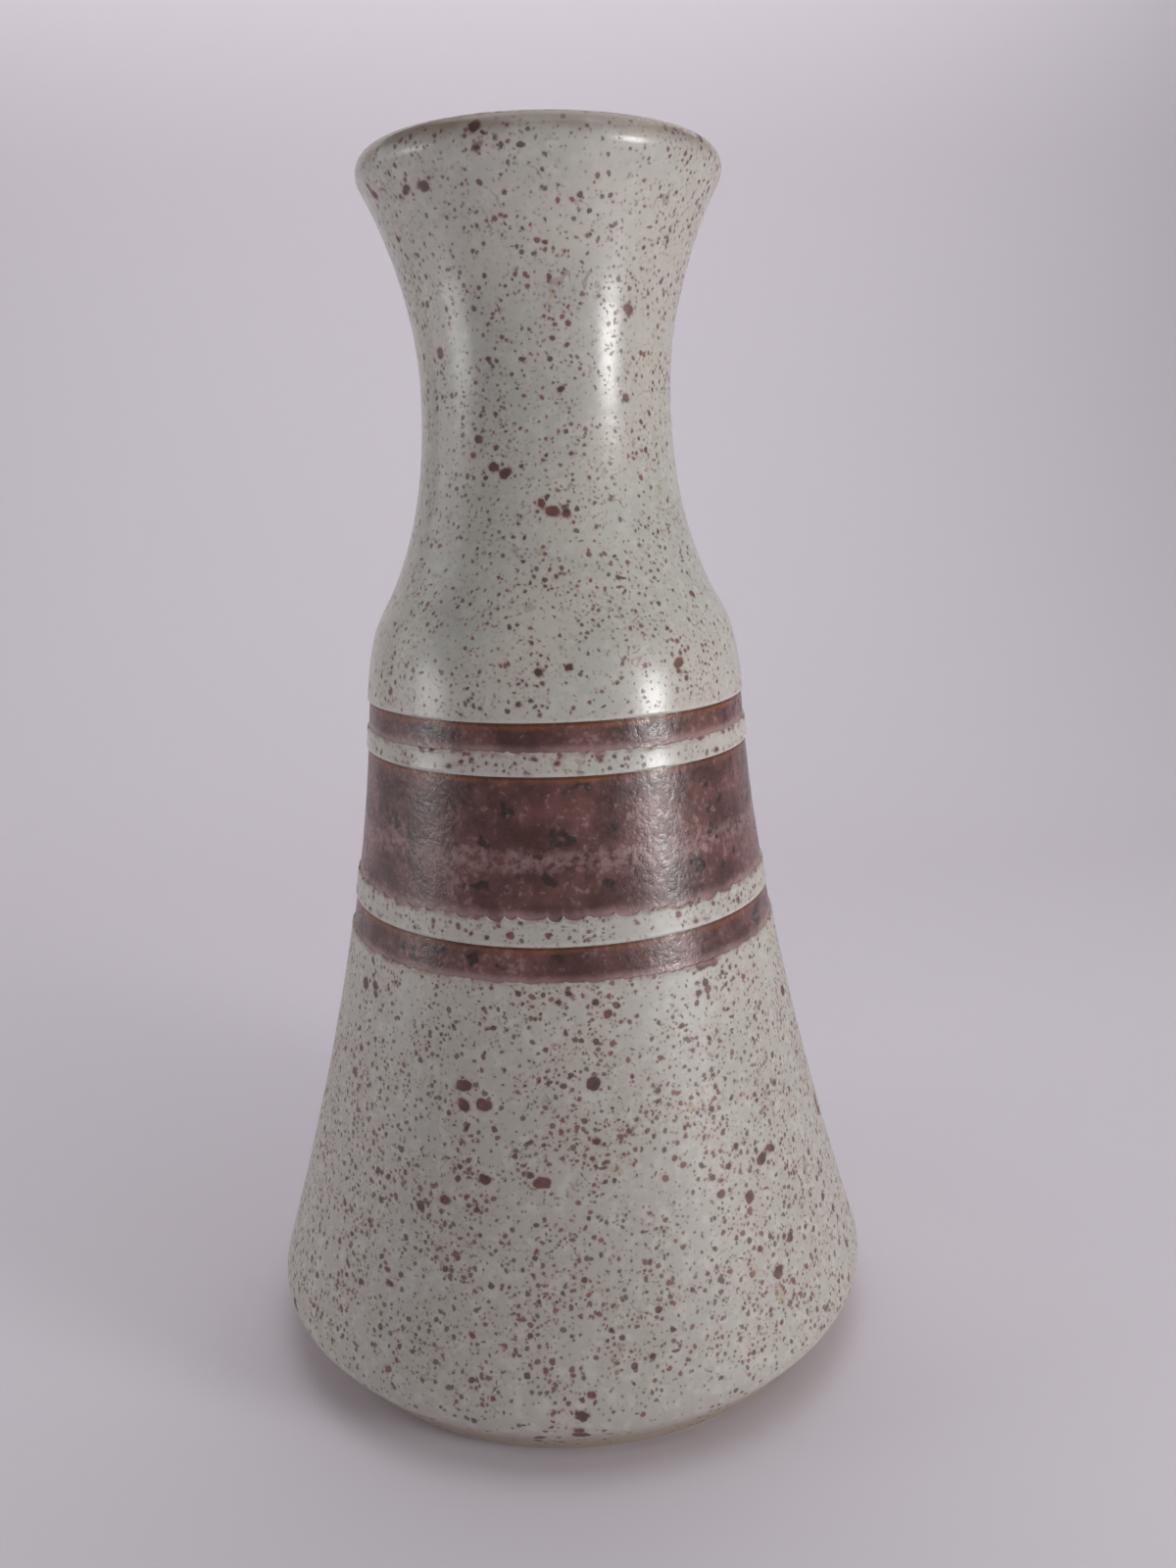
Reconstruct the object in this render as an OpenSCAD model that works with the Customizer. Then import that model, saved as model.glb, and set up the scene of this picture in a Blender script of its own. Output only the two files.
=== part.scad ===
// Stoneware bud vase, thrown on a wheel: a hollow clay body with a liner glaze inside and, outside,
// four islands of thick ivory glaze separated by three sunken bands of thin iron-brown glaze.
// The origin is the middle of the foot, on the surface that the vase stands on. +Z is up the vase.
//
// The outside is one curve through six stations. Every coat and the clay are cut from that curve by
// depth: 0 is the free face of the ivory glaze, and the clay starts one glaze thickness below it.

/* [Overall] */
// Height from the table to the top of the lip
vase_h = 210; // [200:1:225]

/* [Foot and belly] */
// Height of the widest ring, just above the undercut foot
belly_z = 11.8; // [10:0.1:14]
// Radius of the widest ring
belly_r = 56.4; // [52:0.1:60]
// Rounding between the wall and the undercut
belly_round = 4.5; // [3.5:0.1:6]
// Lean of the undercut below the belly, from upright, in degrees
undercut_lean = 38; // [25:1:45]
// Inward lean of the wall just above the belly, from upright, in degrees
wall_lean = 17; // [12:1:22]
// Width of the flat ring that the vase stands on
foot_ring_w = 7; // [5:0.5:10]
// Depth of the trimmed hollow inside the foot ring
foot_recess = 3; // [1.5:0.1:4]

/* [Shoulder] */
// Height where the wall stops being straight and turns in
shoulder_z = 122; // [118:0.5:125]
// Radius there
shoulder_r = 33.7; // [32:0.1:36]
// Height of the middle of the shoulder bend
bend_z = 131.2; // [129:0.1:134]
// Radius there
bend_r = 32.1; // [31:0.1:33]
// Height where the slope of the shoulder is steepest
throat_z = 141; // [138:0.5:145]
// Radius there
throat_r = 27.4; // [26:0.1:29]

/* [Neck and lip] */
// Height of the narrowest ring of the neck
waist_z = 172; // [165:0.5:178]
// Radius there
waist_r = 21.45; // [19:0.05:24]
// Radius of the mouth over the lip
lip_r = 30.2; // [28:0.1:33]
// Rounding of the lip, half its thickness
lip_round = 3.45; // [2.8:0.05:4]
// Outward lean of the neck just under the lip, in degrees
lip_lean = 27.5; // [22:0.5:33]

/* [Bands] */
// Height of the lower edge of the lower band
lower_band_z = 80; // [70:0.5:85]
// Width of the lower band
lower_band_w = 5.5; // [4:0.1:7]
// Width of the ivory stripe under the wide band
lower_gap_w = 5; // [4:0.1:6]
// Width of the wide band
wide_band_w = 22; // [15:0.5:22]
// Width of the ivory stripe over the wide band
upper_gap_w = 4; // [3:0.1:4]
// Width of the upper band
upper_band_w = 4.5; // [3:0.1:4.5]

/* [Walls and coats] */
// Thickness of the wall, coats included
wall = 5; // [4.5:0.1:5.5]
// Thickness of the floor inside the vase
floor_t = 6.5; // [5:0.5:9]
// Rounding where the floor meets the wall inside
floor_round = 9; // [7:0.5:12]
// Thickness of the ivory glaze and of the liner glaze
glaze = 0.6; // [0.5:0.05:0.8]
// Thickness of the brown glaze in the bands
band_coat = 0.3; // [0.2:0.05:0.4]

/* [Hidden] */
$fn = 96;

clay_colour = [0.66, 0.59, 0.50];
ivory_colour = [0.80, 0.79, 0.73];
band_colour = [0.36, 0.25, 0.22];

slice_h = 3;        // tallest slice of the wall
arc_step = 9;       // degrees between the points of a rounding
foot_edge = 0.6;    // chamfer on both edges of the foot ring
bare_foot = 1.5;    // height of the undercut wiped clean of glaze
lip_taper = 16;     // height over which the wall swells to the lip
recess_flare = 2;   // run of the side of the foot hollow for each millimetre of its depth

belly_centre = [belly_r - belly_round, belly_z];
lip_centre = [lip_r - lip_round, vase_h - lip_round];
wall_start = belly_z + belly_round * sin(wall_lean);
wall_end = lip_centre[1] - lip_round * sin(lip_lean);
undercut_top = belly_centre + belly_round * [cos(undercut_lean), -sin(undercut_lean)];

lower_band_top = lower_band_z + lower_band_w;
wide_band_z = lower_band_top + lower_gap_w;
wide_band_top = wide_band_z + wide_band_w;
upper_band_z = wide_band_top + upper_gap_w;
upper_band_top = upper_band_z + upper_band_w;
inside_start = foot_recess + floor_t + floor_round + (floor_round + wall) * sin(wall_lean);
zone_edges = [wall_start, lower_band_z, lower_band_top, wide_band_z, wide_band_top,
              upper_band_z, upper_band_top, wall_end];

// Each station is [height, radius, growth of the radius per height] of the outside curve
stations = [
    [wall_start, belly_centre[0] + belly_round * cos(wall_lean), -tan(wall_lean)],
    [shoulder_z, shoulder_r, -0.07],
    [bend_z, bend_r, -0.23],
    [throat_z, throat_r, -0.43],
    [waist_z, waist_r, 0],
    [wall_end, lip_centre[0] + lip_round * cos(lip_lean), tan(lip_lean)]
];

// Lower station of the stretch that a height lies in
function stretch_at(z) =
    max([for (i = [0 : len(stations) - 2]) z >= stations[i][0] ? i : 0]);

// Smooth curve between two stations a and b, at share t of the way
function curve_r(a, b, t) =
    let (h = b[0] - a[0])
    (2*t*t*t - 3*t*t + 1) * a[1] + (t*t*t - 2*t*t + t) * h * a[2]
    + (3*t*t - 2*t*t*t) * b[1] + (t*t*t - t*t) * h * b[2];

function curve_slope(a, b, t) =
    let (h = b[0] - a[0])
    (6*t*t - 6*t) * (a[1] - b[1]) / h + (3*t*t - 4*t + 1) * a[2] + (3*t*t - 2*t) * b[2];

function share(z, i) = (z - stations[i][0]) / (stations[i + 1][0] - stations[i][0]);

// Lean of the outside curve from upright, in degrees, outward as it rises
function lean_at(z) =
    let (i = stretch_at(z))
    atan(curve_slope(stations[i], stations[i + 1], share(z, i)));

// Point [radius, height] at a depth under the outside curve, measured square to the curve
function under(z, depth) =
    let (i = stretch_at(z), lean = lean_at(z))
    [curve_r(stations[i], stations[i + 1], share(z, i)) - depth * cos(lean), z + depth * sin(lean)];

function arc(centre, radius, from, to) =
    let (n = ceil(abs(to - from) / arc_step))
    [for (i = [0 : n]) centre + radius * [cos(from + (to - from) * i / n), sin(from + (to - from) * i / n)]];

// Heights from a to b in equal slices
function levels(a, b) =
    let (n = ceil((b - a) / slice_h))
    [for (i = [0 : n]) a + (b - a) * i / n];

function backwards(path) = [for (i = [len(path) - 1 : -1 : 0]) path[i]];

function outside(a, b, depth) = [for (z = levels(a, b)) under(z, depth)];

// The whole wall at one depth, with a point at every band edge
function whole_outside(depth) =
    [for (i = [0 : len(zone_edges) - 2]) each outside(zone_edges[i], zone_edges[i + 1], depth)];

function ease(x) = let (t = max(0, min(1, x))) t * t * (3 - 2 * t);

function wall_at(z) = wall + (2 * lip_round - wall) * ease((z - wall_end) / lip_taper + 1);

// The inner face of the vase, from the lip down to the middle of the floor, with a coat taken off
function inside(coat) =
    let (lean = -lean_at(inside_start),
         centre = under(inside_start, wall) - floor_round * [cos(lean), sin(lean)],
         corner = arc(centre, floor_round + coat, lean, -90))
    concat([for (z = backwards(levels(inside_start, wall_end))) under(z, wall_at(z) - coat)],
           [for (i = [1 : len(corner) - 1]) corner[i]],
           [[0, centre[1] - floor_round - coat]]);

// Straight undercut under the belly, at a depth, from a height up to the belly rounding
function undercut(z, depth) =
    let (top = undercut_top - depth * [cos(undercut_lean), -sin(undercut_lean)])
    [top - (top[1] - z) * [tan(undercut_lean), 1]];

function belly(depth) = arc(belly_centre, belly_round - depth, -undercut_lean, wall_lean);

function lip(depth) = arc(lip_centre, lip_round - depth, -lip_lean, 180 - lip_lean);

// A coat on the straight part of the wall, between two heights and two depths
module wall_coat(a, b, free_face, back_face) {
    rotate_extrude()
        polygon(concat(outside(a, b, free_face), backwards(outside(a, b, back_face))));
}

module stoneware_body() {
    foot_out = undercut(foot_edge, glaze)[0];
    ring_in = foot_out[0] - foot_edge - foot_ring_w;
    color(clay_colour)
        rotate_extrude()
            polygon(concat(
                [[0, foot_recess], [ring_in - recess_flare * foot_recess, foot_recess], [ring_in - foot_edge, foot_edge],
                 [ring_in, 0], [foot_out[0] - foot_edge, 0], foot_out],
                undercut(bare_foot, glaze), belly(glaze),
                whole_outside(glaze), lip(glaze), inside(glaze)));
}

module liner_glaze() {
    color(ivory_colour)
        rotate_extrude()
            polygon(concat(inside(0), backwards(inside(glaze))));
}

module neck_glaze() {
    color(ivory_colour)
        rotate_extrude()
            polygon(concat(
                outside(upper_band_top, wall_end, 0), lip(0),
                backwards(lip(glaze)), backwards(outside(upper_band_top, wall_end, glaze))));
}

module upper_band() {
    color(band_colour) wall_coat(upper_band_z, upper_band_top, glaze - band_coat, glaze);
}

module upper_gap_glaze() {
    color(ivory_colour) wall_coat(wide_band_top, upper_band_z, 0, glaze);
}

module wide_band() {
    color(band_colour) wall_coat(wide_band_z, wide_band_top, glaze - band_coat, glaze);
}

module lower_gap_glaze() {
    color(ivory_colour) wall_coat(lower_band_top, wide_band_z, 0, glaze);
}

module lower_band() {
    color(band_colour) wall_coat(lower_band_z, lower_band_top, glaze - band_coat, glaze);
}

module belly_glaze() {
    color(ivory_colour)
        rotate_extrude()
            polygon(concat(
                undercut(bare_foot, 0), belly(0), outside(wall_start, lower_band_z, 0),
                backwards(outside(wall_start, lower_band_z, glaze)), backwards(belly(glaze)),
                undercut(bare_foot, glaze)));
}

stoneware_body();
liner_glaze();
neck_glaze();
upper_band();
upper_gap_glaze();
wide_band();
lower_gap_glaze();
lower_band();
belly_glaze();
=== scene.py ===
"""Looks of a thrown stoneware bud vase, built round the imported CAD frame.

The clay's turned outline is read from the frame and smoothed. Every coat of glaze is then a closed turned
solid that lies on that outline, with wavy brushed edges, rolled glaze rims and throwing rings in its mesh.
Lengths are in metres, unless a name ends in _MM. Angles round the vase start at the front and go right.
"""
import math

import bmesh
import bpy
import numpy as np
from mathutils import Matrix, Vector


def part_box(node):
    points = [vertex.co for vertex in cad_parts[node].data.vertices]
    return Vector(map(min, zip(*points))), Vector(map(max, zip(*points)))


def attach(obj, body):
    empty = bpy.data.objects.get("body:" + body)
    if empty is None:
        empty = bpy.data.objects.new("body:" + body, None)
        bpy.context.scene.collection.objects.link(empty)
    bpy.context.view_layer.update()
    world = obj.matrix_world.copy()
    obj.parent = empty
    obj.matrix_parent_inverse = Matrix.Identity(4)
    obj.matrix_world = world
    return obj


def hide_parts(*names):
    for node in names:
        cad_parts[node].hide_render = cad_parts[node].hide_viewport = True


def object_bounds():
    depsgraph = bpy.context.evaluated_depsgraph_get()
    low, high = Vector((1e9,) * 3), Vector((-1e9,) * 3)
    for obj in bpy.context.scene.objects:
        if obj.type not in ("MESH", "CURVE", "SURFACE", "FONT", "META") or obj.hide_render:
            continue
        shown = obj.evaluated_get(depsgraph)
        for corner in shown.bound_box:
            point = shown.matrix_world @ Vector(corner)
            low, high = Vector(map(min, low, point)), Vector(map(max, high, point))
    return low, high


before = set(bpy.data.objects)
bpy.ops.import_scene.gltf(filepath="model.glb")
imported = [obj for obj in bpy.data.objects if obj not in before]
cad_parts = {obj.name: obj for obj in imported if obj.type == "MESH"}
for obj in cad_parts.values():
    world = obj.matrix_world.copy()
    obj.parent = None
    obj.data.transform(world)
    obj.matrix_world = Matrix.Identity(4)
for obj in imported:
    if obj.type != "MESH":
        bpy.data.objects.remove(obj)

MM = 0.001
CAD_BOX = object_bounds()

# Meshes
TURNS = 640               # faces round an outer coat
INNER_TURNS = 320         # faces round the liner
CLAY_TURNS = 240          # faces round the clay
FACE_STEP = 0.55 * MM     # faces along an outer coat
INNER_STEP = 2 * FACE_STEP
HIDDEN_STEP = 2 * MM      # faces along a hidden side
CURVE_STEP = 0.05 * MM    # samples along the clay's outline
SAME_POINT = 0.02 * MM
TOUCHING = 0.1 * MM       # closer than the thinnest coat

# Coats of glaze
EDGE_RUN = 0.55 * MM      # width of the rolled rim of a glaze
EDGE_BEAD = 0.08 * MM     # how much thicker the glaze is just inside its rim
EDGE_STEPS = 6
RIM_CLEAR = 1.2 * EDGE_RUN  # the plain face keeps this far from a border
SETBACK = 0.04 * MM       # the shown faces stay this far under the CAD's
WAVE_REACH = 2.0 * MM     # how far into a coat the wave of its edge is felt

# From the foot up, with the material slot that each coat takes its finish from
COATS = [
    ("belly_glaze", "ivory_glaze"),
    ("lower_band", "band_glaze"),
    ("lower_gap_glaze", "ivory_glaze"),
    ("wide_band", "band_glaze"),
    ("upper_gap_glaze", "ivory_glaze"),
    ("upper_band", "band_glaze"),
    ("neck_glaze", "ivory_glaze"),
]

# Blots of iron on each ivory coat: number of clusters, then the smallest and the widest blot in mm
BLOTS_ON = {
    "belly_glaze": (62, 0.9, 3.3),
    "lower_gap_glaze": (34, 0.6, 1.5),
    "upper_gap_glaze": (34, 0.6, 1.4),
    "neck_glaze": (54, 0.9, 2.5),
}
BLOT_SEED = 77
CLUSTER_REACH = 2.6 * MM  # how far the blots of a cluster usually lie from its middle
MOST_IN_CLUSTER = 3
FEW_TALL_BLOTS = 1.5      # the higher this power, the fewer of the blots are tall
TALLEST_SHARE = 0.7       # tallness of the tallest blot, as a share of the widest width
WIDTH_SHARES = (0.85, 1.8)
MOST_TILT = 0.6           # radians
NO_BLOT_MM = -9.0         # stands for a place far outside every blot
BLOT_MARGIN = 3 * MM      # blots further than this past the end of a coat cannot touch it

# Spiral rings left by the potter's fingers: spacing in mm, turns round the vase, half depth in mm, start
THROWING_RINGS = [
    (14.0, 1, 0.010, 0.3),
    (8.3, 1, 0.004, 2.1),
    (5.1, -1, 0.002, 4.0),
    (26.0, 2, 0.020, 1.2),
]
SLOW_WAVES = range(2, 9)  # waves round the vase that add up to the wobble of a border
LARGEST_PHASE = 6.28
LOBE_WIDTHS = (0.55, 1.5)  # of the brush marks, as shares of their usual width and of their deepest depth
LOBE_DEPTHS = (0.35, 1.0)
SHARP_ANGLE = math.radians(40)
ANGLES = np.arange(TURNS) / TURNS * 2 * math.pi


# ---------------------------------------------------------------- outlines read from the frame

def seam_outline(node):
    """Outline of a turned CAD node as rows of radius and height, walked along the seam on its +X side."""
    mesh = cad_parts[node].data
    seam = {v.index: (round(v.co.x, 7), round(v.co.z, 7)) for v in mesh.vertices
            if abs(v.co.y) < SAME_POINT / 100 and v.co.x > 0}
    joined = {point: set() for point in seam.values()}
    for edge in mesh.edges:
        a, b = (seam.get(i) for i in edge.vertices)
        if a and b and a != b:
            joined[a].add(b)
            joined[b].add(a)
    ends = [point for point in joined if len(joined[point]) == 1]
    walk = [min(ends or joined, key=lambda point: point[1])]
    while True:
        onward = [point for point in sorted(joined[walk[-1]]) if point not in walk]
        if not onward:
            return np.array(walk)
        walk.append(onward[-1])


def run_lengths(points):
    """Length along a row of points, from its start to each point."""
    steps = np.hypot(*np.diff(points, axis=0).T)
    return np.concatenate([[0], np.cumsum(steps)])


def smooth_through(points, step):
    """Points of a smooth curve through all the given ones, a step apart."""
    at = run_lengths(points)
    slope = np.gradient(points, at, axis=0)
    fine = np.linspace(0, at[-1], int(at[-1] / step) + 1)
    i = np.clip(np.searchsorted(at, fine, side="right") - 1, 0, len(at) - 2)
    h = (at[i + 1] - at[i])[:, None]
    t = ((fine - at[i])[:, None]) / h
    return ((2 * t**3 - 3 * t**2 + 1) * points[i] + (t**3 - 2 * t**2 + t) * h * slope[i]
            + (3 * t**2 - 2 * t**3) * points[i + 1] + (t**3 - t**2) * h * slope[i + 1])


def ease_corners(points, reach, rounds):
    """The same outline with its corners rounded off over that reach."""
    at = run_lengths(points)
    places = [np.linspace(a, b, max(2, math.ceil((b - a) / reach) + 1))[:-1] for a, b in zip(at, at[1:])]
    places = np.append(np.concatenate(places), at[-1])
    points = np.stack([np.interp(places, at, points[:, k]) for k in (0, 1)], axis=1)
    for _ in range(rounds):
        cut = np.stack([0.75 * points[:-1] + 0.25 * points[1:], 0.25 * points[:-1] + 0.75 * points[1:]], 1)
        points = np.concatenate([points[:1], cut.reshape(-1, 2), points[-1:]])
    return points


class Wall:
    """The glazed face of the clay, from the bare foot up the outside, over the lip and down to the floor."""

    def __init__(self, points):
        self.points = smooth_through(points, CURVE_STEP)
        self.at = run_lengths(self.points)
        along = np.gradient(self.points, self.at, axis=0)
        along /= np.hypot(*along.T)[:, None]
        self.out = np.stack([along[:, 1], -along[:, 0]], axis=1)
        self.top = self.at[np.argmax(self.points[:, 1])]

    def place(self, at, height):
        """Radius and height above the table of points that stand off the clay by height."""
        radius, z, out_r, out_z = (np.interp(at, self.at, values) for values in
                                   (*self.points.T, *self.out.T))
        return radius + out_r * height, z + out_z * height

    def nearest(self, point):
        return self.at[np.argmin(np.hypot(*(self.points - point).T))]

    def run_of(self, node):
        """Where a coat starts and ends on the clay, and how thick it is."""
        outline = seam_outline(node)
        far = np.array([np.hypot(*(self.points - p).T).min() for p in outline])
        touching = [self.nearest(p) for p in outline[far < TOUCHING]]
        return min(touching), max(touching), far.max()


clay_outline = seam_outline("stoneware_body")
glaze_start_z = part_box("belly_glaze")[0].z
foot_ring_edge = np.flatnonzero(clay_outline[:, 1] < SAME_POINT)[-1]
above_ring = clay_outline[foot_ring_edge:, 1] > glaze_start_z - SAME_POINT
first_glazed = foot_ring_edge + np.flatnonzero(above_ring)[0]
floor_centre = [0, clay_outline[-1][1]]
wall = Wall(np.vstack([clay_outline[first_glazed:], floor_centre]))
runs = {node: wall.run_of(node) for node, slot in COATS}
liner_run = wall.run_of("liner_glaze")


# ---------------------------------------------------------------- meshes

def turned(name, radius, height, closed):
    """Mesh of a turned shape. Rows of the two arrays go round the vase and columns along its outline."""
    turns, count = radius.shape
    angle = (np.arange(turns) / turns * 2 * math.pi)[:, None]
    points = np.stack([radius * np.sin(angle), -radius * np.cos(angle), height], axis=2).reshape(-1, 3)
    i = np.arange(turns)[:, None] * count
    j = np.arange(count if closed else count - 1)[None, :]
    ahead = (np.arange(turns)[:, None] + 1) % turns * count
    onward = (j + 1) % count
    faces = np.stack([i + j, ahead + j, ahead + onward, i + onward], axis=2).reshape(-1, 4)
    mesh = bpy.data.meshes.new(name)
    mesh.from_pydata(points.tolist(), [], faces.tolist())
    return mesh


def finished(name, mesh, columns=()):
    """Object of a turned mesh, with poles merged, faces turned outward and its numbers per point kept."""
    for label, values in columns:
        layer = mesh.attributes.new(label, "FLOAT", "POINT")
        layer.data.foreach_set("value", values.astype(np.float32).ravel())
    shape = bmesh.new()
    shape.from_mesh(mesh)
    pole = [v for v in shape.verts if math.hypot(v.co.x, v.co.y) < SAME_POINT / 10]
    bmesh.ops.remove_doubles(shape, verts=pole, dist=SAME_POINT / 10)
    bmesh.ops.recalc_face_normals(shape, faces=shape.faces)
    for face in shape.faces:
        face.smooth = True
    shape.to_mesh(mesh)
    shape.free()
    mesh.set_sharp_from_angle(angle=SHARP_ANGLE)
    made = bpy.data.objects.new(name, mesh)
    bpy.context.scene.collection.objects.link(made)
    return made


def fade(distance, reach):
    """1 at no distance and 0 from the reach on, with a soft start and end."""
    t = np.clip(1 - distance / reach, 0, 1)
    return t * t * (3 - 2 * t)


def lobes(radius, seed, width_mm, depth_mm):
    """How far the brush marks hang below a band's lower edge, at each angle round the vase."""
    draw = np.random.default_rng(seed)
    count = round(2 * math.pi * radius / (width_mm * MM))
    widths = draw.uniform(*LOBE_WIDTHS, count)
    starts = np.concatenate([[0], np.cumsum(widths)]) / widths.sum() * 2 * math.pi
    depths = draw.uniform(*LOBE_DEPTHS, count) * depth_mm * MM
    i = np.searchsorted(starts, ANGLES, side="right") - 1
    share = (ANGLES - starts[i]) / (starts[i + 1] - starts[i]) * 2 - 1
    return -depths[i] * np.sqrt(np.clip(1 - share**2, 0, 1))


def wobble(seed, size_mm):
    """A slow uneven wave round the vase."""
    draw = np.random.default_rng(seed)
    waves = [np.sin(k * ANGLES + draw.uniform(0, LARGEST_PHASE)) / k**0.5 for k in SLOW_WAVES]
    return sum(waves) / len(waves) * size_mm * MM * 2


def throwing_rings(at):
    """Faint spiral rings left by the potter's fingers: how far the surface is pressed in."""
    press = -SETBACK
    for spacing_mm, turning, size_mm, start in THROWING_RINGS:
        phase = 2 * math.pi * at / (spacing_mm * MM) + turning * ANGLES[:, None] + start
        press = press + size_mm * MM * (np.sin(phase) - 1)
    return press


def scattered_blots():
    """Blots in small clusters all over the ivory coats: angle, place on the wall, width, tallness, tilt."""
    draw = np.random.default_rng(BLOT_SEED)
    made = []
    for node, (clusters, smallest_mm, widest_mm) in BLOTS_ON.items():
        low, top, thick = runs[node]
        for _ in range(clusters):
            angle = draw.uniform(0, 2 * math.pi)
            middle = draw.uniform(low, top)
            radius = wall.place(middle, thick)[0]
            for _ in range(draw.integers(1, MOST_IN_CLUSTER + 1)):
                room = TALLEST_SHARE * widest_mm - smallest_mm
                tall = smallest_mm + room * draw.random() ** FEW_TALL_BLOTS
                wide = min(widest_mm, tall * draw.uniform(*WIDTH_SHARES))
                across, up = draw.normal(0, CLUSTER_REACH, 2)
                place = np.clip(middle + up, low + EDGE_RUN, top - EDGE_RUN)
                tilt = draw.uniform(-MOST_TILT, MOST_TILT)
                made.append((angle + across / radius, place, wide, tall, tilt))
    return made


blots = scattered_blots()


def blot_depth(at, thick):
    """How far inside the nearest blot each point of a coat lies, in mm, and below 0 outside them all."""
    depth = np.full(at.shape, NO_BLOT_MM)
    for blot_angle, middle, wide, tall, tilt in blots:
        if not at.min() - BLOT_MARGIN < middle < at.max() + BLOT_MARGIN:
            continue
        turn = (ANGLES[:, None] - blot_angle + math.pi) % (2 * math.pi) - math.pi
        across = turn * wall.place(middle, thick)[0] / MM
        up = (at - middle) / MM
        along = across * math.cos(tilt) - up * math.sin(tilt)
        above = across * math.sin(tilt) + up * math.cos(tilt)
        inside = (1 - np.hypot(along / wide, above / tall) * 2) * min(wide, tall) / 2
        depth = np.maximum(depth, inside)
    return depth


def rim(inward, outer, neighbour):
    """Run from the border and height off the clay of a rolled rim, from the neighbour's face to the outer."""
    turn = np.linspace(0, math.pi / 2, EDGE_STEPS)
    return inward * EDGE_RUN * (1 - np.cos(turn)), neighbour + (outer - neighbour) * np.sin(turn)


def section(run, low_neighbour, top_neighbour):
    """Points round the section of a coat: place along the wall, height off the clay, and 1 where it shows."""
    low, top, thick = run
    face = np.arange(low, top, FACE_STEP)
    face = face[(face > low + RIM_CLEAR) & (face < top - RIM_CLEAR)]
    low_run, low_height = rim(1, thick, min(low_neighbour, thick))
    top_run, top_height = rim(-1, thick, min(top_neighbour, thick))
    hidden = np.linspace(top, low, math.ceil((top - low) / HIDDEN_STEP) + 2)
    if low_neighbour == 0:
        hidden = hidden[:-1]
    at = np.concatenate([low + low_run, face, (top + top_run)[::-1], hidden])
    height = [low_height, np.full(len(face), thick), top_height[::-1], np.zeros(len(hidden))]
    shown = np.arange(len(at)) < len(at) - len(hidden)
    return at, np.concatenate(height), shown


def coat(name, run, low_neighbour, top_neighbour, low_wave, top_wave):
    """A coat of glaze on the clay. A neighbour is the thickness of the coat across that border."""
    low, top, thick = run
    at, height, shown = section(run, low_neighbour, top_neighbour)
    bead = EDGE_BEAD * (np.exp(-(at - low) / EDGE_RUN) * (low_neighbour < thick)
                        + np.exp(-(top - at) / EDGE_RUN) * (top_neighbour < thick))
    full = shown & (height >= thick * 0.999)
    height = height + (bead + throwing_rings(at)) * full
    moved = (at + low_wave[:, None] * fade(at - low, WAVE_REACH)
             + top_wave[:, None] * fade(top - at, WAVE_REACH))
    radius, z = wall.place(moved, height)
    mesh = turned(name, radius, z, closed=True)
    ones = np.ones((TURNS, 1))
    columns = [
        ("from_low", ones * (at - low) / MM),
        ("from_top", ones * (top - at) / MM),
        ("blot", blot_depth(moved, thick)),
    ]
    return finished(name, mesh, columns)


def steps(start, end, step):
    """Places along the wall from start to end, about a step apart."""
    return np.linspace(start, end, math.ceil(abs(end - start) / step) + 1)


def liner(name, low, top, thick):
    """A length of the glaze inside the vase, which may end at the middle of the floor."""
    hidden = steps(top, low, HIDDEN_STEP)
    face = steps(low, top, INNER_STEP)
    at = np.concatenate([hidden, face])
    height = np.concatenate([np.zeros(len(hidden)), np.full(len(face), thick)])
    radius, z = wall.place(at, height)
    to_middle = top >= wall.at[-1] - CURVE_STEP
    if to_middle:
        radius[[0, -1]] = 0
    grid = np.ones((INNER_TURNS, 1))
    return finished(name, turned(name, radius * grid, z * grid, closed=not to_middle))


def clay_run(start, end):
    """Points on the face of the clay between two places along the wall."""
    return np.stack(wall.place(steps(start, end, HIDDEN_STEP), 0.0), axis=1)


def clay_piece(name, loop, closed):
    """A turned piece of clay from the points round its section."""
    grid = np.ones((CLAY_TURNS, 1))
    return finished(name, turned(name, loop[:, 0] * grid, loop[:, 1] * grid, closed))


# ---------------------------------------------------------------- materials

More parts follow.
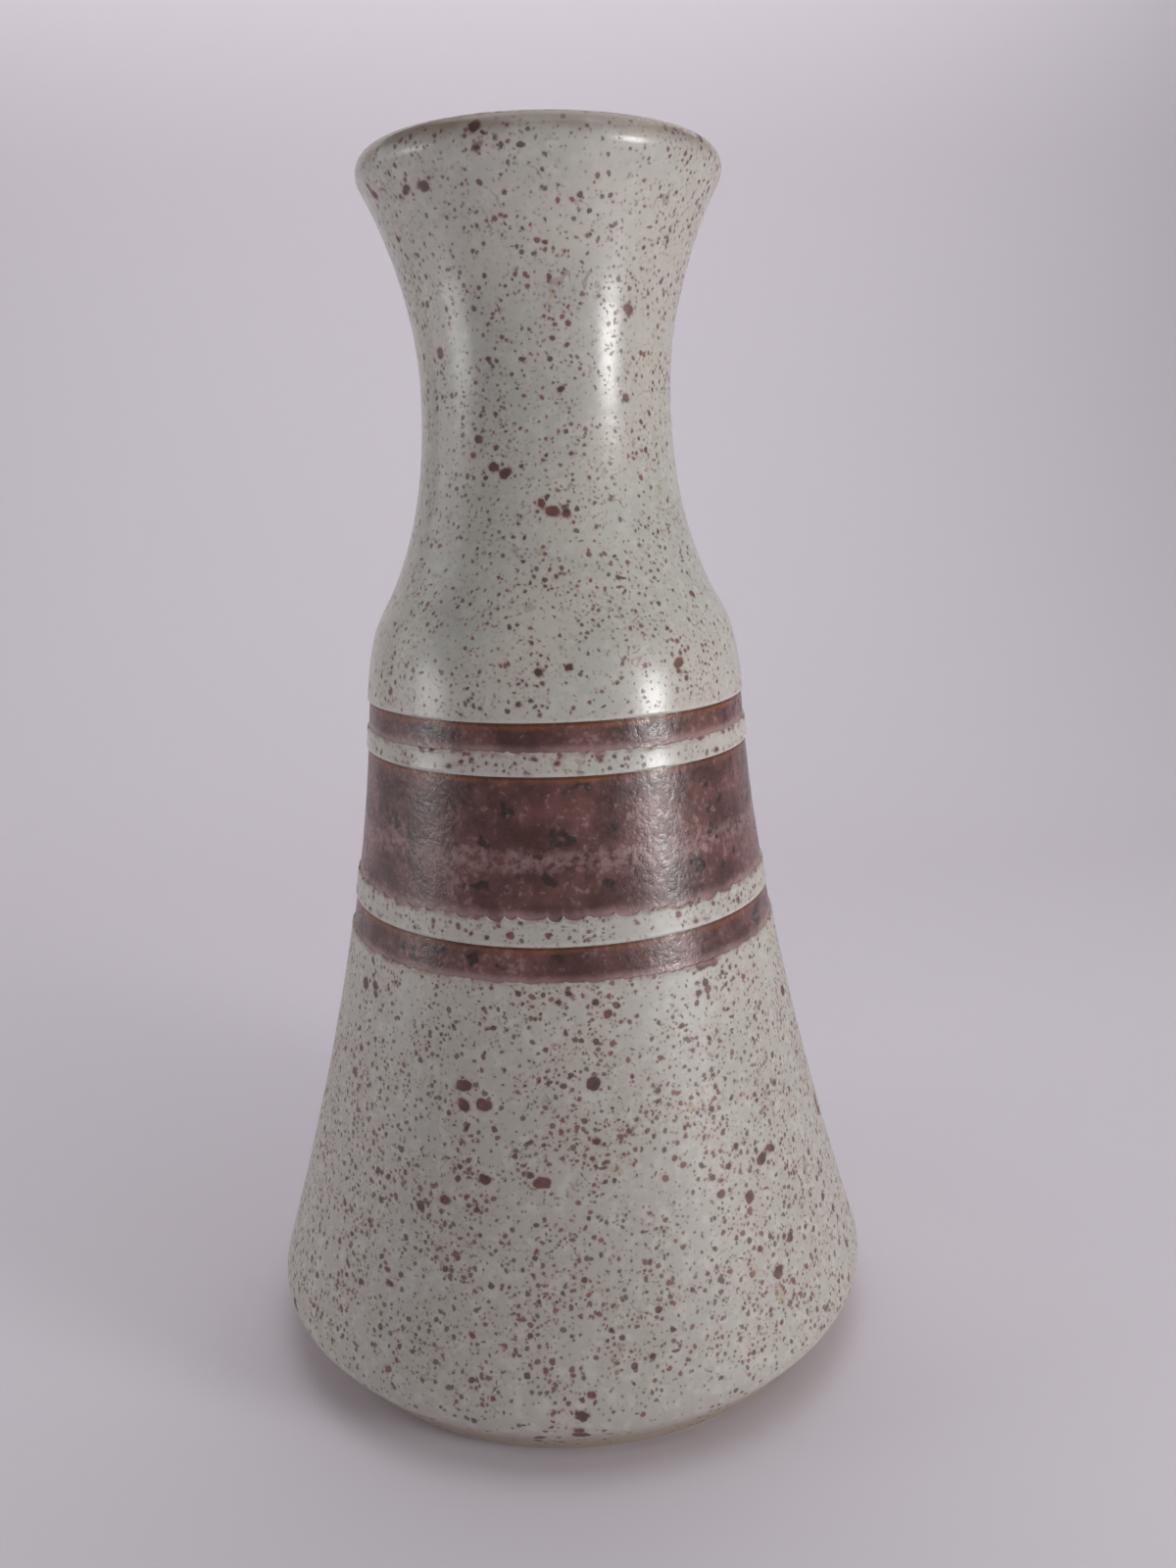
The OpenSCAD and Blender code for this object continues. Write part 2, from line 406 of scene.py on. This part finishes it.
class Tree:
    """A short way to write the nodes of one material."""

    def __init__(self, name):
        self.material = bpy.data.materials.new(name)
        self.material.use_nodes = True
        self.tree = self.material.node_tree
        self.shader = self.tree.nodes["Principled BSDF"]

    def node(self, kind, outlet, settings, **inputs):
        made = self.tree.nodes.new(kind)
        for key, value in settings.items():
            setattr(made, key, value)
        for key, value in inputs.items():
            inlet = made.inputs[int(key[1:])] if key[0] == "i" and key[1:].isdigit() else made.inputs[key]
            self.join(value, inlet)
        return made.outputs[outlet]

    def join(self, value, inlet):
        if isinstance(value, bpy.types.NodeSocket):
            self.tree.links.new(value, inlet)
        else:
            inlet.default_value = value

    def math(self, operation, a, b=0.0):
        return self.node("ShaderNodeMath", 0, {"operation": operation}, i0=a, i1=b)

    def vector(self, operation, a, b):
        inlet = "i3" if operation == "SCALE" else "i1"
        return self.node("ShaderNodeVectorMath", 0, {"operation": operation}, **{"i0": a, inlet: b})

    def ramp(self, value, start, end, low=0.0, high=1.0):
        """Goes smoothly from low to high as value goes from start to end."""
        settings = {"interpolation_type": "SMOOTHSTEP"}
        return self.node("ShaderNodeMapRange", 0, settings, i0=value, i1=start, i2=end, i3=low, i4=high)

    def mix(self, share, a, b):
        """Colour a, going to colour b as share goes from 0 to 1."""
        return self.node("ShaderNodeMix", 2, {"data_type": "RGBA"}, i0=share, i6=a, i7=b)

    def noise(self, at, size_mm, detail=2.0, rough=0.5, colour=False):
        """Cloudy noise with features of that size, around 0.5."""
        settings = {"noise_dimensions": "3D"}
        return self.node("ShaderNodeTexNoise", 1 if colour else 0, settings,
                         Vector=at, Scale=1 / size_mm, Detail=detail, Roughness=rough)

    def displaced(self, at, size_mm, reach_mm):
        """Places pushed about by up to half of the reach, so that what is drawn there comes out ragged."""
        push = self.vector("SUBTRACT", self.noise(at, size_mm, 2.0, colour=True), (0.5, 0.5, 0.5))
        return self.vector("ADD", at, self.vector("SCALE", push, reach_mm))

    def attribute(self, name):
        return self.node("ShaderNodeAttribute", 2, {"attribute_type": "GEOMETRY", "attribute_name": name})

    def place_mm(self):
        """Place on the vase, in millimetres."""
        coordinates = self.node("ShaderNodeTexCoord", 3, {})
        return self.vector("SCALE", coordinates, 1 / MM)

    def bump(self, height_mm):
        """Normal of a surface raised by that many millimetres."""
        return self.node("ShaderNodeBump", 0, {}, Strength=1.0, Distance=MM, Height=height_mm)

    def split(self, vector):
        made = self.tree.nodes.new("ShaderNodeSeparateXYZ")
        self.join(vector, made.inputs[0])
        return made.outputs

    def finish(self, colour, roughness, normal):
        self.join(colour, self.shader.inputs["Base Color"])
        self.join(roughness, self.shader.inputs["Roughness"])
        self.join(normal, self.shader.inputs["Normal"])
        return self.material


def linear(red, green, blue):
    """Linear colour of a display colour from 0 to 255."""
    parts = [c / 255 for c in (red, green, blue)]
    return (*[c / 12.92 if c <= 0.04045 else ((c + 0.055) / 1.055) ** 2.4 for c in parts], 1.0)


SOFT_MM = 0.10            # half the width of a speck's blurred edge


def specks(tree, at, cell_mm, share, smallest_mm, largest_mm, grow, shift):
    """Round spots scattered through the glaze, one for a share of the cells.

    Gives their mask, their halo and a random number for each.
    """
    voronoi = tree.tree.nodes.new("ShaderNodeTexVoronoi")
    tree.join(tree.vector("ADD", at, (shift, shift * 1.7, shift * 0.6)), voronoi.inputs["Vector"])
    voronoi.inputs["Scale"].default_value = 1 / cell_mm
    distance = tree.math("MULTIPLY", voronoi.outputs["Distance"], cell_mm)
    random = tree.split(voronoi.outputs["Color"])
    present = tree.math("LESS_THAN", random[0], share)
    radius = tree.ramp(tree.math("POWER", random[1], 2.0), 0.0, 1.0, smallest_mm, largest_mm)
    inside = tree.math("SUBTRACT", tree.math("MULTIPLY", radius, grow), distance)
    mask = tree.math("MULTIPLY", tree.ramp(inside, -SOFT_MM, SOFT_MM), present)
    halo = tree.math("MULTIPLY", tree.ramp(inside, -3.5 * SOFT_MM, SOFT_MM), present)
    return mask, halo, tree.ramp(random[2], 0.4, 0.85)


IVORY = linear(203, 198, 187)
GREY_IVORY = linear(190, 189, 180)
BELLY_IVORY = linear(184, 179, 170)
MILKY = linear(210, 207, 197)
OLIVE_SPECK = linear(92, 84, 75)
RED_SPECK = linear(122, 76, 73)
DARK_SPECK = linear(80, 55, 52)
RUST_HALO = linear(172, 142, 132)
OCHRE = linear(164, 136, 102)
THIN_GLAZE = linear(168, 150, 130)
LIP_BROWN = linear(138, 122, 108)
BLEED = linear(164, 132, 126)

GLAZE_LOW_MM = glaze_start_z / MM
BANDS_LOW_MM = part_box("lower_band")[0].z / MM
BANDS_TOP_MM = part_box("upper_band")[1].z / MM
LIP_TOP_MM = CAD_BOX[1].z / MM

# Heights in mm over which the ivory glaze changes, each from the start to the end of that change
BELLY_TONE_FROM_TO = (BANDS_LOW_MM + 25, BANDS_LOW_MM - 30)
FOOT_THIN_FROM_TO = (GLAZE_LOW_MM + 8, GLAZE_LOW_MM + 3.5)
LIP_BREAK_FROM_TO = (LIP_TOP_MM - 2.8, LIP_TOP_MM + 0.4)
POLISHED_FROM_TO = (BANDS_LOW_MM - 2, BANDS_TOP_MM - 9)
SPECKS_START_FROM_TO = (GLAZE_LOW_MM + 7.5, GLAZE_LOW_MM + 15.5)
SPECKS_GROW_FROM_TO = (BANDS_TOP_MM + 4, BANDS_LOW_MM - 40)
STAIN_BELOW_FROM_TO = (BANDS_TOP_MM + 19, BANDS_TOP_MM + 9)

# Specks from dust to spots: cell, share of cells, smallest and largest radius in mm, strength, two colours
SPECKS = [
    (0.75, 0.80, 0.08, 0.22, 0.55, OLIVE_SPECK, RED_SPECK),
    (1.05, 0.85, 0.15, 0.38, 0.80, OLIVE_SPECK, RED_SPECK),
    (1.60, 0.75, 0.20, 0.48, 0.82, DARK_SPECK, RED_SPECK),
    (4.00, 0.20, 0.35, 0.75, 0.85, DARK_SPECK, RED_SPECK),
]


def ivory_glaze(name="ivory_glaze", speck_share=1.0, outside=True):
    """Satin ivory glaze with iron specks that bleed through it."""
    tree = Tree(name)
    at = tree.place_mm()
    height = tree.split(at)[2]
    ragged = tree.displaced(tree.displaced(at, 1.8, 0.9), 0.45, 0.22)
    base = tree.mix(tree.ramp(tree.noise(at, 26.0, 3.0), 0.35, 0.65), IVORY, GREY_IVORY)
    base = tree.mix(tree.ramp(height, *BELLY_TONE_FROM_TO, 0.0, 0.85), base, BELLY_IVORY)
    colour = tree.mix(tree.ramp(tree.noise(at, 2.2, 3.0), 0.45, 0.7, 0.0, 0.5), base, MILKY)
    colour = tree.mix(tree.ramp(height, *FOOT_THIN_FROM_TO, 0.0, 0.8), colour, THIN_GLAZE)
    thin = tree.math("ADD", height, tree.math("MULTIPLY", tree.noise(at, 5.0, 3.0), 3.0))
    colour = tree.mix(tree.ramp(thin, *LIP_BREAK_FROM_TO, 0.0, 0.85), colour, LIP_BROWN)
    colour, spots = add_specks(tree, colour, ragged, height, speck_share)
    colour = add_worms(tree, colour, at)
    if outside:
        colour, spots = add_blots(tree, colour, spots, at)
        colour = add_borders(tree, colour, at, height)
    polish = tree.ramp(height, *POLISHED_FROM_TO, 0.42, 0.245)
    rough = tree.math("ADD", polish, tree.math("MULTIPLY", spots, 0.1))
    grain = tree.math("MULTIPLY", tree.noise(at, 0.55, 2.0), 0.010)
    peel = tree.math("MULTIPLY", tree.noise(at, 2.6, 2.0), 0.03)
    relief = tree.math("ADD", tree.math("ADD", grain, peel), tree.math("MULTIPLY", spots, -0.01))
    return tree.finish(colour, rough, tree.bump(relief))


def add_specks(tree, colour, at, height, speck_share):
    """All sizes of specks and the dashes, crowded in patches, larger toward the belly and few at its edge."""
    crowd = tree.ramp(tree.noise(at, 8.0), 0.36, 0.64, 0.45 * speck_share, 1.25 * speck_share)
    crowd = tree.math("MULTIPLY", crowd, tree.ramp(height, *SPECKS_START_FROM_TO, 0.2, 1.0))
    grow = tree.ramp(height, *SPECKS_GROW_FROM_TO, 1.0, 1.25)
    spots = 0.0
    for k, (cell, share, smallest, largest, strength, one, other) in enumerate(SPECKS):
        found = tree.math("MULTIPLY", crowd, share)
        mask, halo, random = specks(tree, at, cell, found, smallest, largest, grow, 11.0 * k)
        colour = tree.mix(tree.math("MULTIPLY", halo, 0.3), colour, RUST_HALO)
        colour = tree.mix(tree.math("MULTIPLY", mask, strength), colour, tree.mix(random, one, other))
        spots = tree.math("MAXIMUM", mask, spots)
    flat = tree.vector("MULTIPLY", at, (0.45, 0.45, 1.25))
    dash = specks(tree, flat, 2.4, tree.math("MULTIPLY", crowd, 0.35), 0.12, 0.30, grow, 53.0)
    colour = tree.mix(tree.math("MULTIPLY", dash[0], 0.8), colour, tree.mix(dash[2], DARK_SPECK, RED_SPECK))
    return colour, tree.math("MAXIMUM", spots, dash[0])


def add_worms(tree, colour, at):
    """Thin reddish squiggles and a few ochre patches."""
    line = tree.math("ABSOLUTE", tree.math("SUBTRACT", tree.noise(at, 3.2, 1.0), 0.5))
    patch = tree.ramp(tree.noise(tree.vector("ADD", at, (9, 2, 5)), 5.0), 0.62, 0.67)
    worm = tree.math("MULTIPLY", tree.ramp(line, 0.036, 0.012), patch)
    colour = tree.mix(tree.math("MULTIPLY", worm, 0.32), colour, RED_SPECK)
    ochre = tree.ramp(tree.noise(tree.vector("ADD", at, (31, 12, 7)), 4.5, 3.0), 0.68, 0.74)
    return tree.mix(tree.math("MULTIPLY", ochre, 0.4), colour, OCHRE)


def add_blots(tree, colour, spots, at):
    """The largest spots, with ragged edges, a paler patch here and there and a rusty halo."""
    ragged = tree.math("MULTIPLY", tree.math("SUBTRACT", tree.noise(at, 1.0, 2.0), 0.5), 0.8)
    depth = tree.math("ADD", tree.attribute("blot"), ragged)
    ink = tree.mix(tree.ramp(tree.noise(at, 2.5, 2.0), 0.4, 0.7), DARK_SPECK, RED_SPECK)
    colour = tree.mix(tree.ramp(depth, -0.45, 0.05, 0.0, 0.45), colour, RUST_HALO)
    inked = tree.ramp(depth, -0.14, 0.14, 0.0, 0.92)
    return tree.mix(inked, colour, ink), tree.math("MAXIMUM", spots, inked)


def add_borders(tree, colour, at, height):
    """A painted highlight along the thick rim over a band, and a stain bled up and down from the band above.
    """
    # Painted highlight: the ivory is painted milky along its lower rim over a band, where the rolled glaze
    # edge catches the light.
    pale = tree.ramp(tree.attribute("from_low"), 0.9, 0.35, 0.0, 0.6)
    colour = tree.mix(pale, colour, MILKY)
    waver = tree.math("MULTIPLY", tree.noise(at, 1.5, 2.0), 2.0)
    from_top = tree.math("ADD", tree.attribute("from_top"), waver)
    below_bands = tree.ramp(height, *STAIN_BELOW_FROM_TO)
    uneven = tree.ramp(tree.noise(at, 2.6), 0.4, 0.62, 0.15, 0.75)
    stain = tree.math("MULTIPLY", tree.math("MULTIPLY", tree.ramp(from_top, 2.3, 1.1), uneven), below_bands)
    return tree.mix(stain, colour, BLEED)


BAND_DARK = linear(88, 62, 58)
BAND_RED = linear(122, 86, 82)
BAND_BLACK = linear(62, 52, 50)
BAND_PINK = linear(168, 137, 134)
BAND_ORANGE = linear(150, 92, 58)
STREAK_UP = 0.39          # height of a pale streak round the wide band, as a share of the width of the wide band


def band_glaze():
    """Thin iron-brown glaze, orange where it breaks under its upper edge and mottled below, with a painted
    shadow line along that edge.
    """
    tree = Tree("band_glaze")
    at = tree.place_mm()
    from_top = tree.attribute("from_top")
    from_low = tree.attribute("from_low")
    cloud = tree.noise(at, 7.0, 3.0, 0.5)
    grain = tree.noise(at, 1.2, 3.0, 0.6)
    colour = tree.mix(tree.ramp(cloud, 0.35, 0.65), BAND_DARK, BAND_RED)
    blotch = tree.ramp(tree.noise(tree.vector("ADD", at, (40, 7, 3)), 4.0, 2.0), 0.60, 0.67)
    colour = tree.mix(tree.math("MULTIPLY", blotch, 0.85), colour, BAND_BLACK)
    crystal = tree.ramp(tree.math("ADD", grain, tree.math("MULTIPLY", cloud, 0.5)), 0.81, 0.97)
    colour = tree.mix(tree.math("MULTIPLY", crystal, 0.55), colour, BAND_PINK)
    low, top, thick = runs["wide_band"]
    off_streak = tree.math("ABSOLUTE", tree.math("SUBTRACT", from_low, STREAK_UP * (top - low) / MM))
    streak = tree.math("MULTIPLY", tree.ramp(off_streak, 2.6, 0.6, 0.0, 0.55), tree.ramp(grain, 0.35, 0.6))
    colour = tree.mix(streak, colour, BAND_PINK)
    fringe = tree.ramp(tree.math("ADD", from_low, tree.math("MULTIPLY", grain, 1.2)), 2.0, 0.7)
    patchy = tree.ramp(cloud, 0.3, 0.6, 0.45, 0.95)
    colour = tree.mix(tree.math("MULTIPLY", fringe, patchy), colour, BAND_PINK)
    edge = tree.math("ADD", from_top, tree.math("MULTIPLY", tree.noise(at, 2.2, 3.0), 1.6))
    strip = tree.ramp(edge, 2.3, 1.3)
    uneven = tree.ramp(tree.noise(at, 15.0), 0.35, 0.6, 0.4, 0.8)
    strip = tree.math("MULTIPLY", strip, uneven)
    colour = tree.mix(strip, colour, BAND_ORANGE)
    # Painted shadow: a dark line along the band's top edge, where the rolled ivory rim above overhangs it.
    colour = tree.mix(tree.ramp(from_top, 0.6, 0.35, 0.0, 0.6), colour, BAND_BLACK)
    rough = tree.ramp(grain, 0.3, 0.7, 0.20, 0.40)
    relief = tree.math("MULTIPLY", grain, 0.10)
    return tree.finish(colour, rough, tree.bump(relief))


CLAY = linear(178, 158, 134)
CLAY_DARK = linear(140, 116, 92)
TRIM_RING_MM = 2.4


def stoneware():
    """Bare fired clay with fine grog and the rings of the trimming tool."""
    tree = Tree("stoneware")
    at = tree.place_mm()
    cloud = tree.noise(at, 9.0, 3.0)
    colour = tree.mix(tree.ramp(cloud, 0.3, 0.7, 0.0, 0.55), CLAY, CLAY_DARK)
    grog = specks(tree, at, 1.4, 0.5, 0.08, 0.3, 1.0, 3.0)
    colour = tree.mix(tree.math("MULTIPLY", grog[0], 0.6), colour, DARK_SPECK)
    flat = tree.vector("MULTIPLY", at, (1, 1, 0))
    reach = tree.node("ShaderNodeVectorMath", 1, {"operation": "LENGTH"}, i0=flat)
    wavy = tree.math("ADD", reach, tree.math("MULTIPLY", tree.noise(at, 20.0), 3.0))
    rings = tree.math("SINE", tree.math("MULTIPLY", wavy, 2 * math.pi / TRIM_RING_MM))
    grit = tree.math("MULTIPLY", tree.noise(at, 0.5, 2.0), 0.08)
    relief = tree.math("ADD", grit, tree.math("MULTIPLY", rings, 0.06))
    return tree.finish(colour, 0.85, tree.bump(relief))


# ---------------------------------------------------------------- the vase

def dress(piece, node, material):
    """Hangs a finished piece in the frame in place of its CAD node."""
    piece.data.materials.append(material)
    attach(piece, "root")
    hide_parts(node)


# How deep and how wide the brush marks are on the border over an ivory coat, in mm
BRUSH_MARKS = {"belly_glaze": (0.5, 2.6), "lower_gap_glaze": (1.1, 3.3), "upper_gap_glaze": (0.45, 2.4)}
BRUSHED_WOBBLE_MM = 0.25
CRISP_WOBBLE_MM = 0.12
LOBE_SEED = 5
BRUSHED_SEED = 20
CRISP_SEED = 30


def border_waves():
    """The uneven line of each border, from the foot up: brushed below a band and crisp above it."""
    waves = [np.zeros(TURNS)]
    for k, (node, slot) in enumerate(COATS[:-1]):
        low, top, thick = runs[node]
        radius = wall.place(top, 0)[0]
        if slot == "ivory_glaze":
            depth_mm, width_mm = BRUSH_MARKS[node]
            marks = lobes(radius, LOBE_SEED + k, width_mm, depth_mm)
            waves.append(marks + wobble(BRUSHED_SEED + k, BRUSHED_WOBBLE_MM))
        else:
            waves.append(wobble(CRISP_SEED + k, CRISP_WOBBLE_MM))
    return waves + [np.zeros(TURNS)]


def build_coats():
    finishes = {"ivory_glaze": ivory_glaze(), "band_glaze": band_glaze()}
    waves = border_waves()
    thick = [0] + [runs[node][2] for node, slot in COATS] + [liner_run[2]]
    for k, (node, slot) in enumerate(COATS):
        piece = coat(node + "_coat", runs[node], thick[k], thick[k + 2], waves[k], waves[k + 1])
        dress(piece, node, finishes[slot])


def build_liner():
    finish = ivory_glaze("liner_glaze", 0.5, outside=False)
    low, top, thick = liner_run
    middle = (low + top) / 2
    dress(liner("liner_upper", low, middle, thick), "liner_glaze", finish)
    dress(liner("liner_lower", middle, wall.at[-1], thick), "liner_glaze", finish)


# Heights above the table where the clay is divided into pieces, in mm. Glaze covers them.
CLAY_CUTS = (24, 84, 150)
FOOT_EASE = 0.7 * MM      # how far from a corner of the bare foot its rounding starts
FOOT_ROUNDS = 2


def build_clay():
    """The clay in lengths: the foot with the floor, two lengths of wall, and the neck with the lip."""
    rising = wall.at < wall.top
    falling = wall.at > wall.top
    cuts = np.array(CLAY_CUTS) * MM
    outer = np.interp(cuts, wall.points[rising, 1], wall.at[rising])
    inner = np.interp(cuts, wall.points[falling, 1][::-1], wall.at[falling][::-1])
    foot = np.vstack([[0, clay_outline[0][1]], clay_outline[:first_glazed + 1]])
    foot = ease_corners(foot, FOOT_EASE, FOOT_ROUNDS)
    loops = {
        "stoneware_foot": [foot, clay_run(wall.at[0], outer[0])[1:], clay_run(inner[0], wall.at[-1])],
        "stoneware_belly": [clay_run(outer[0], outer[1]), clay_run(inner[1], inner[0])],
        "stoneware_shoulder": [clay_run(outer[1], outer[2]), clay_run(inner[2], inner[1])],
        "stoneware_neck": [clay_run(outer[2], inner[2])],
    }
    finish = stoneware()
    for name, runs_of_clay in loops.items():
        piece = clay_piece(name, np.vstack(runs_of_clay), closed=name != "stoneware_foot")
        dress(piece, "stoneware_body", finish)


# ---------------------------------------------------------------- studio

CAMERA_BACK = 0.2277
CAMERA_HEIGHT = 0.1582
CAMERA_YAW = math.radians(1.364)
CAMERA_PITCH = math.radians(13.65)
CAMERA_ROLL = math.radians(-1.56)
CAMERA_LENS = 29.03


def add_camera():
    ahead = Vector((math.sin(CAMERA_YAW), math.cos(CAMERA_YAW), 0))
    side = Vector((math.cos(CAMERA_YAW), -math.sin(CAMERA_YAW), 0))
    up = Vector((0, 0, 1))
    forward = ahead * math.cos(CAMERA_PITCH) - up * math.sin(CAMERA_PITCH)
    above = ahead * math.sin(CAMERA_PITCH) + up * math.cos(CAMERA_PITCH)
    right = side * math.cos(CAMERA_ROLL) + above * math.sin(CAMERA_ROLL)
    top = -side * math.sin(CAMERA_ROLL) + above * math.cos(CAMERA_ROLL)
    data = bpy.data.cameras.new("camera")
    data.lens = CAMERA_LENS
    data.sensor_width = 36
    data.clip_start = 0.01
    data.clip_end = 20
    camera = bpy.data.objects.new("camera", data)
    turn = Matrix((right, top, -forward)).transposed().to_4x4()
    camera.matrix_world = Matrix.Translation((0, -CAMERA_BACK, CAMERA_HEIGHT)) @ turn
    bpy.context.scene.collection.objects.link(camera)
    bpy.context.scene.camera = camera


def around(azimuth, reach, height):
    """Place at that angle round the vase, 0 at the front and 90 to the right, and reach from its axis."""
    a = math.radians(azimuth)
    return Vector((math.sin(a) * reach, -math.cos(a) * reach, height))


AXIS_LOW = Vector((0, 0, 0))
AXIS_MIDDLE = Vector((0, 0, 0.142))

# Soft rectangular lights: name, place, what it faces, width, tallness, watts
LIGHTS = [
    ("right_panel", around(57, 0.6, 0.142), AXIS_MIDDLE, 0.15, 0.165, 1.5),
    ("right_fill", around(52, 0.75, 0.3), Vector((0, 0, 0.17)), 0.5, 0.5, 0.45),
    ("left_panel", around(-77, 0.6, 0.142), AXIS_MIDDLE, 0.22, 0.165, 0.5),
    ("left_fill", around(-95, 0.75, 0.3), Vector((0, 0, 0.15)), 0.5, 0.5, 0.8),
    ("top_panel", around(100, 0.08, 0.62), AXIS_LOW, 0.6, 0.5, 1.3),
    ("wall_wash", Vector((-0.15, 0.50, 0.62)), Vector((-0.15, 0.62, 0.35)), 1.2, 0.1, 1.15),
]


def add_light(name, place, aim, width, tall, power):
    """A soft rectangular light that faces the aim."""
    data = bpy.data.lights.new(name, "AREA")
    data.shape = "RECTANGLE"
    data.size = width
    data.size_y = tall
    data.energy = power
    light = bpy.data.objects.new(name, data)
    light.location = place
    light.rotation_mode = "QUATERNION"
    light.rotation_quaternion = (place - aim).to_track_quat("Z", "Y")
    bpy.context.scene.collection.objects.link(light)


SWEEP_FRONT = -1.2
SWEEP_BACK = 0.62
SWEEP_BEND = 0.35
SWEEP_BEND_POINTS = 24
SWEEP_TOP = 1.4
SWEEP_HALF_WIDTH = 1.5
PAPER = (0.80, 0.75, 0.81, 1)
TENT_LIGHT = (0.93, 0.91, 1.0, 1)
TENT_STRENGTH = 0.075


def add_sweep():
    """Pale floor that curves up into a wall behind the vase."""
    start = SWEEP_BACK - SWEEP_BEND
    turn = np.linspace(0, math.pi / 2, SWEEP_BEND_POINTS)[1:]
    outline = [(SWEEP_FRONT, 0.0), (start, 0.0)]
    outline += [(start + SWEEP_BEND * math.sin(t), SWEEP_BEND - SWEEP_BEND * math.cos(t)) for t in turn]
    outline.append((SWEEP_BACK, SWEEP_TOP))
    points = [(x, y, z) for y, z in outline for x in (-SWEEP_HALF_WIDTH, SWEEP_HALF_WIDTH)]
    faces = [(2 * i, 2 * i + 1, 2 * i + 3, 2 * i + 2) for i in range(len(outline) - 1)]
    mesh = bpy.data.meshes.new("sweep")
    mesh.from_pydata(points, [], faces)
    for polygon in mesh.polygons:
        polygon.use_smooth = True
    sweep = bpy.data.objects.new("sweep", mesh)
    bpy.context.scene.collection.objects.link(sweep)
    tree = Tree("sweep_paper")
    tree.shader.inputs["Base Color"].default_value = PAPER
    tree.shader.inputs["Roughness"].default_value = 0.9
    tree.shader.inputs["Specular IOR Level"].default_value = 0.1
    mesh.materials.append(tree.material)


def add_world():
    world = bpy.data.worlds.new("tent")
    world.use_nodes = True
    background = world.node_tree.nodes["Background"]
    background.inputs["Color"].default_value = TENT_LIGHT
    background.inputs["Strength"].default_value = TENT_STRENGTH
    bpy.context.scene.world = world


def add_studio():
    add_camera()
    add_sweep()
    add_world()
    for light in LIGHTS:
        add_light(*light)
    bpy.context.scene.view_settings.view_transform = "Standard"


build_coats()
build_liner()
build_clay()
add_studio()
